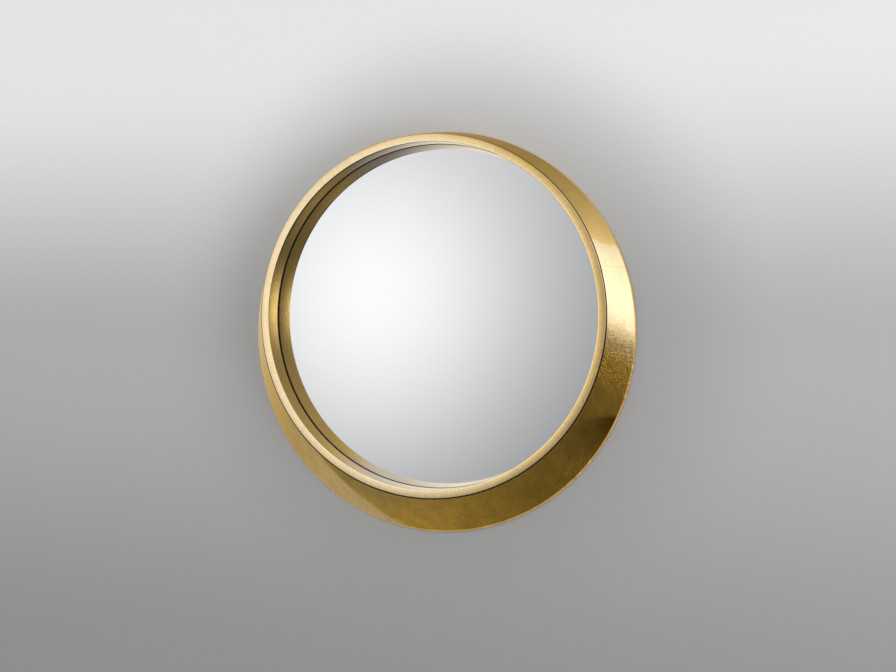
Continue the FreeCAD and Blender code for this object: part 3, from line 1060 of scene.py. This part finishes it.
# Wood screws, each turned from its outline; the ridges stand for the thread.
screwAround = 40
threadRise, threadFall = 0.45, 0.90  # crest and root of a ridge, in shares of the pitch
recessFloor = 0.6  # the recess narrows to this share of its width
panScrew = {
    "seat": -3.5 * mm,
    "length": 14.0 * mm,
    "shank": 1.75 * mm,
    "core": 1.25 * mm,
    "head": 3.6 * mm,
    "headHeight": 2.1 * mm,
    "crown": 1.45 * mm,
    "point": 3.0 * mm,
    "pitch": 1.4 * mm,
    "plain": 2.5 * mm,
    "recess": 3.4 * mm,
    "recessWidth": 0.95 * mm,
    "recessDepth": 1.3 * mm,
}
flatScrew = {
    "seat": 0.0,
    "length": 12.0 * mm,
    "shank": 1.5 * mm,
    "core": 1.1 * mm,
    "head": 3.0 * mm,
    "headHeight": 0.0,
    "point": 3.0 * mm,
    "pitch": 1.3 * mm,
    "plain": 1.5 * mm,
    "recess": 3.0 * mm,
    "recessWidth": 0.85 * mm,
    "recessDepth": 1.2 * mm,
}


def makeScrew(name, size, place):
    shank, core, head, pitch = (size[key] for key in ("shank", "core", "head", "pitch"))
    depth = size["seat"] - size["length"]
    corners = [(0, depth), (core * 0.9, depth + size["point"])]
    depth += size["point"]
    while depth < size["seat"] - size["plain"] - pitch:
        corners += [(shank, depth + pitch * threadRise), (core, depth + pitch * threadFall)]
        depth += pitch
    corners.append((shank, depth + 0.3 * mm))
    if size["headHeight"]:
        top = size["seat"] + size["headHeight"]
        corners += [(shank, size["seat"]), (head, size["seat"]), (head, top), (0, top)]
    else:
        top = 0
        corners += [(shank, shank - head), (head, -0.08 * mm), (head, 0), (0, 0)]
    # drawn on the mirror's axis, then moved to its place
    screw = drawLoop(name, corners, close=False)
    if size["headHeight"]:
        roundCorner(screw, (head, top), size["crown"])
    spinRound(screw, screwAround)
    recess, floorDepth = size["recess"], top - size["recessDepth"]
    for wide, high in ((size["recessWidth"], recess), (recess, size["recessWidth"])):
        bpy.ops.mesh.primitive_cube_add(
            size=1,
            location=(0, top - size["recessDepth"] / 2 + 0.5 * mm, mirror["axisZ"]),
            scale=(wide, size["recessDepth"] + mm, high),
        )
        blade = nameNew("recessBlade")
        freezePlace(blade)
        openEdit(blade)
        pickVerts(blade, lambda co: co.y < floorDepth + 0.1 * mm)
        narrow = (recessFloor, 1, recessFloor)
        bpy.ops.transform.resize(value=narrow, center_override=(0, floorDepth, mirror["axisZ"]))
        closeEdit()
        cleanMesh(blade)
        cutAway(screw, blade)
    cleanMesh(screw, 30)
    screw.location = place
    freezePlace(screw)
    return screw


def joinPieces(pieces, name):
    deselectAll()
    for piece in pieces:
        piece.select_set(True)
    bpy.context.view_layer.objects.active = pieces[0]
    bpy.ops.object.join()
    return nameNew(name)


firstPan = makeScrew("panHead", panScrew, (buttons["pivotRadius"], 0, 0))
panHeads = [copyRound(firstPan, degrees, "panHeadCopy") for degrees in buttonAngles]
bpy.data.objects.remove(firstPan)
buttonScrews = joinPieces(panHeads, "buttonScrews")
dress(buttonScrews, screwSteel)
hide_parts("turn_button_screws")
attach(buttonScrews, "frame")

keyholePlate = {"spacing": 277.0 * mm, "middle": 2.0 * mm, "screwOffset": 14.5 * mm}
flatHeads = []
for x in (-keyholePlate["spacing"], keyholePlate["spacing"]):
    for rise in (-keyholePlate["screwOffset"], keyholePlate["screwOffset"]):
        place = (x, 0, keyholePlate["middle"] + rise - mirror["axisZ"])
        flatHeads.append(makeScrew("flatHead", flatScrew, place))
plateScrews = joinPieces(flatHeads, "keyholePlateScrews")
dress(plateScrews, screwSteel)
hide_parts("keyhole_plate_screws")
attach(plateScrews, "frame")
print("screws made")

finishOfNode = {
    "hoop": hoopWood,
    "backing_board": hardboard,
    "front_dowels": dowelWood,
    "rear_dowels": dowelWood,
    "glass_spacer_tape": foamTape,
    "setting_blocks": blackRubber,
    "packing_ring": pressedFelt,
    "keyhole_plate_left": brassSteel,
    "keyhole_plate_right": brassSteel,
}
for nodeName, node in nodes.items():
    if nodeName.startswith("flank_"):
        upright = nodeName.endswith(("_left", "_right"))
        dress(node, uprightWood if upright else levelWood)
    elif nodeName in finishOfNode:
        dress(node, finishOfNode[nodeName])
print("wood, board, felt and fittings finished")

room = {
    "wallTop": rgb(0.79, 0.79, 0.79),
    "wallMiddle": rgb(0.43, 0.43, 0.43),
    "wallFoot": rgb(0.30, 0.30, 0.30),
    "seenBrighter": 0.24,
    "topHeight": 0.36,
    "middleHeight": -0.08,
    "footHeight": -0.60,
    "floorColour": rgb(0.70, 0.70, 0.70),
    "opening": 297.5 * mm,  # behind the mirror the wall is left open, so that its back gets light too
    "shadeMiddle": 0.02,  # a little to the right of the mirror's middle
    "shadeReach": 0.50,
    "shadeShare": 0.5,
    "wallReach": 9.0,
    "wallGap": 0.4 * mm,
    "floorDrop": -1.7,
    "floorSize": 14,
    "mattness": 0.9,
}
# soft lights far away: where each stands, how wide it is and how bright
softLights = {
    "frontLeft": {"azimuthDeg": -24, "elevationDeg": 2, "widthDeg": 10, "strength": 0.73},
    "right": {
        "azimuthDeg": 94,
        "elevationDeg": 19,
        "widthDeg": 20,
        "strength": 1.55,
        "lowerEdgeDeg": (-6, 0),
    },
    "left": {"azimuthDeg": -136, "elevationDeg": 16, "widthDeg": 14, "strength": 0.39},
    "rearRight": {"azimuthDeg": 132, "elevationDeg": 12, "widthDeg": 26, "strength": 0.51},
    "below": {"azimuthDeg": -164, "elevationDeg": -37, "widthDeg": 25, "strength": 1.10},
    "insideGlow": {"azimuthDeg": 20, "elevationDeg": -1, "widthDeg": 4.5, "strength": 1.15},
    "underInside": {"azimuthDeg": 4, "elevationDeg": -20, "widthDeg": 6, "strength": 0.16},
    "overInside": {"azimuthDeg": -8, "elevationDeg": 21, "widthDeg": 5, "strength": 0.20},
    "overhead": {"azimuthDeg": -65, "elevationDeg": 55, "widthDeg": 63, "strength": 0.47},
}
surround = {"level": 0.14, "seenByCamera": 0.75}


mattPaint = {"Roughness": room["mattness"], "Specular_IOR_Level": 0.0}


def finishStage(piece, material):
    # the stage is lit and seen, but never mirrored in the object
    dress(piece, material)
    piece.visible_glossy = False


def makeWall():
    centreZ = mirror["axisZ"] - mirror["baseDrop"]
    bpy.ops.mesh.primitive_circle_add(
        vertices=96, radius=room["opening"], location=(0, room["wallGap"], centreZ), rotation=alongDepth
    )
    wall = nameNew("wallBackdrop")
    freezePlace(wall)
    openEdit(wall, "EDGE")
    selectAll()
    pull(0, 0, 0)
    grow = room["wallReach"] / room["opening"]
    bpy.ops.transform.resize(value=(grow, 1, grow), center_override=(0, room["wallGap"], centreZ))
    closeEdit()
    if wall.data.polygons[0].normal.y > 0:
        flipNormals(wall)
    material, tree = newMaterial("wallPaint", **mattPaint)
    shader = shaderOf(material)
    place = objectPlace(tree)
    up = splitVector(tree, place)["Z"]
    # painted light: the wall is painted lighter at the top and darker towards the foot, as if lit from
    # above
    high = ramp(tree, up, room["middleHeight"], room["topHeight"])
    low = ramp(tree, up, room["footHeight"], room["middleHeight"])
    colour = mixColour(tree, low, room["wallFoot"], room["wallMiddle"])
    colour = mixColour(tree, high, colour, room["wallTop"])
    # painted shadow: a soft darker ring round the mirror
    near = vectorNode(tree, "DISTANCE", place, (room["shadeMiddle"], 0, centreZ), "Value")
    shade = times(tree, below(tree, near, room["opening"], room["shadeReach"]), room["shadeShare"])
    colour = mixColour(tree, shade, colour, room["wallFoot"])
    feed(tree, colour, shader.inputs["Base Color"])
    # only the camera sees the backdrop a little brighter than the light makes it
    feed(tree, colour, shader.inputs["Emission Color"])
    seen = addNode(tree, "ShaderNodeLightPath").outputs["Is Camera Ray"]
    feed(tree, times(tree, seen, room["seenBrighter"]), shader.inputs["Emission Strength"])
    # from behind the wall is clear, so that the mirror's back can be seen
    mix = addNode(tree, "ShaderNodeMixShader")
    feed(tree, addNode(tree, "ShaderNodeNewGeometry").outputs["Backfacing"], mix.inputs[0])
    feed(tree, shader.outputs[0], mix.inputs[1])
    feed(tree, addNode(tree, "ShaderNodeBsdfTransparent").outputs[0], mix.inputs[2])
    feed(tree, mix.outputs[0], tree.nodes["Material Output"].inputs["Surface"])
    finishStage(wall, material)


def makeFloor():
    bpy.ops.mesh.primitive_plane_add(size=room["floorSize"], location=(0, 0, room["floorDrop"]))
    floor = nameNew("studioFloor")
    finishStage(floor, newMaterial("floorPaint", Base_Color=room["floorColour"], **mattPaint)[0])


def lightTheRoom():
    world = bpy.data.worlds.new("studio")
    bpy.context.scene.world = world
    world.use_nodes = True
    tree = world.node_tree
    background = tree.nodes["Background"]
    background.inputs["Color"].default_value = rgb(1, 1, 1)
    direction = addNode(tree, "ShaderNodeTexCoord").outputs["Generated"]
    height = splitVector(tree, direction)["Z"]
    total = surround["level"]
    for lamp in softLights.values():
        azimuth = math.radians(lamp["azimuthDeg"])
        elevation = math.radians(lamp["elevationDeg"])
        flat = math.cos(elevation)
        towards = (math.sin(azimuth) * flat, -math.cos(azimuth) * flat, math.sin(elevation))
        facing = larger(tree, vectorNode(tree, "DOT_PRODUCT", direction, towards, "Value"), 0.0)
        soft = mathNode(tree, "POWER", facing, 1 / math.radians(lamp["widthDeg"]) ** 2)
        if "lowerEdgeDeg" in lamp:
            low, high = (math.sin(math.radians(edge)) for edge in lamp["lowerEdgeDeg"])
            soft = times(tree, soft, ramp(tree, height, low, high))
        total = scaled(tree, soft, lamp["strength"], total)
    # the camera itself sees a plain pale surround
    seen = addNode(tree, "ShaderNodeLightPath").outputs["Is Camera Ray"]
    hidden = times(tree, invert(tree, seen), total)
    feed(tree, scaled(tree, seen, surround["seenByCamera"], hidden), background.inputs["Strength"])


makeWall()
makeFloor()
lightTheRoom()

bpy.context.scene.view_settings.view_transform = "Standard"


lamps = {
    "keyLamp": {"place": (-1.2, -2.6, 1.5), "size": 1.4, "watts": 20},
    "sideLamp": {"place": (1.9, -1.5, -0.4), "size": 1.2, "watts": 14},
}


def addLamp(name, place, size, watts):
    bpy.ops.object.light_add(type="AREA", location=place)
    lamp = bpy.context.active_object
    lamp.name = name
    lamp.data.shape = "DISK"
    lamp.data.size = size
    lamp.data.energy = watts
    lamp.visible_glossy = False
    lamp.rotation_euler = (-Vector(place)).to_track_quat("-Z", "Y").to_euler()  # aimed at the origin


for name, lamp in lamps.items():
    addLamp(name, **lamp)
print("lit")
